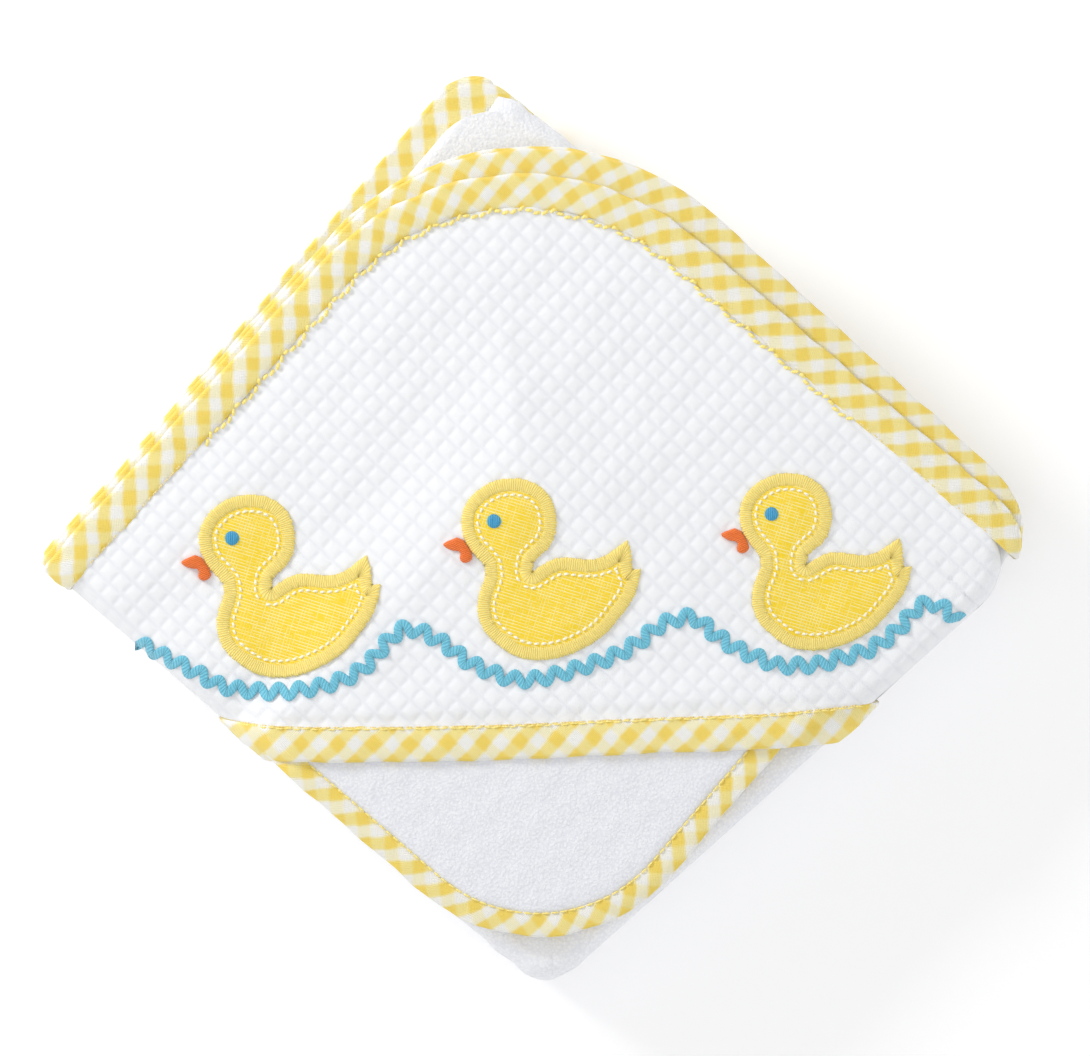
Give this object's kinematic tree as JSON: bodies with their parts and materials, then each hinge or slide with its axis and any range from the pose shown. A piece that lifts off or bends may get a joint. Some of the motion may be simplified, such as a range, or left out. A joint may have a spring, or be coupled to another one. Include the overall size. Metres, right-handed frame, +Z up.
{
  "type": "hooded baby towel",
  "caption": "Folded terry hooded towel with gingham binding, waffle hood with duck appliques and wavy braid, and a matching washcloth tucked under the hood.",
  "frame": {"origin": "on the resting face, under the middle of the folded towel", "axes": "+Z up out of the top leaf, +Y towards the hood's rounded corner, +X towards the right corner"},
  "size_m": [0.27, 0.25, 0.0474],
  "materials": {
    "white_terry": "looped pile",
    "white_waffle": "waffle weave",
    "yellow_gingham": "yellow and white check weave",
    "yellow_thread": "embroidery thread",
    "blue_braid": "woven braid",
    "duck_fabric": "plain weave",
    "yellow_satin": "satin stitch",
    "white_thread": "thread",
    "orange_satin": "satin stitch",
    "blue_satin": "satin stitch"
  },
  "bodies": {
    "leaf_top": {"edge_binding_1_fourth": "yellow_gingham", "edge_binding_1_front": "yellow_gingham", "edge_binding_1_second": "yellow_gingham", "edge_binding_1_third": "yellow_gingham", "hood_crown_panel": "white_waffle", "hood_edge_binding": "yellow_gingham", "hood_edge_stitch": "yellow_thread", "hood_tip_right_hem": "yellow_gingham", "hood_tip_right_panel": "white_waffle", "terry_leaf_1": "white_terry"},
    "leaf_second": {"edge_binding_2_lower": "yellow_gingham", "edge_binding_2_upper": "yellow_gingham", "hood_tip_left_hem": "yellow_gingham", "hood_tip_left_panel": "white_waffle", "terry_leaf_2": "white_terry"},
    "leaf_third": {"edge_binding_3_lower": "yellow_gingham", "edge_binding_3_upper": "yellow_gingham", "terry_leaf_3": "white_terry"},
    "leaf_bottom": {"edge_binding_4_first": "yellow_gingham", "edge_binding_4_lower": "yellow_gingham", "edge_binding_4_second": "yellow_gingham", "edge_binding_4_upper": "yellow_gingham", "terry_leaf_4": "white_terry"},
    "hood_mouth": {"duck_1_beak": "orange_satin", "duck_1_border": "yellow_satin", "duck_1_eye": "blue_satin", "duck_1_patch": "duck_fabric", "duck_1_stitch": "white_thread", "duck_2_beak": "orange_satin", "duck_2_border": "yellow_satin", "duck_2_eye": "blue_satin", "duck_2_patch": "duck_fabric", "duck_2_stitch": "white_thread", "duck_3_beak": "orange_satin", "duck_3_border": "yellow_satin", "duck_3_eye": "blue_satin", "duck_3_patch": "duck_fabric", "duck_3_stitch": "white_thread", "hood_hem_binding": "yellow_gingham", "hood_hem_stitch": "yellow_thread", "hood_mouth_panel": "white_waffle", "rick_rack": "blue_braid"},
    "washcloth": {"washcloth_bindings": "yellow_gingham", "washcloth_stitch": "yellow_thread", "washcloth_terry": "white_terry"}
  },
  "joints": [
    {"name": "unfold_1", "type": "hinge", "parent": "leaf_top", "child": "leaf_second", "pos_m": [-0.06834, -0.07095, 0.0289], "axis": [-0.7578, 0.6525, 0], "range_deg": [0, 179.5]},
    {"name": "unfold_2", "type": "hinge", "parent": "leaf_second", "child": "leaf_third", "pos_m": [0.05967, 0.0746, 0.01926], "axis": [0.738, -0.6748, 0], "range_deg": [0, 179.5]},
    {"name": "unfold_3", "type": "hinge", "parent": "leaf_third", "child": "leaf_bottom", "pos_m": [-0.06834, -0.07095, 0.00962], "axis": [-0.7578, 0.6525, 0], "range_deg": [0, 179.5]},
    {"name": "hood_lift", "type": "hinge", "parent": "leaf_top", "child": "hood_mouth", "pos_m": [0, 0.04, 0.04092], "axis": [-1, 0, 0], "range_deg": [0, 35]},
    {"name": "washcloth_pull", "type": "slide", "parent": "leaf_top", "child": "washcloth", "axis": [0.7578, -0.6525, 0], "range_m": [0, 0.16]}
  ]
}
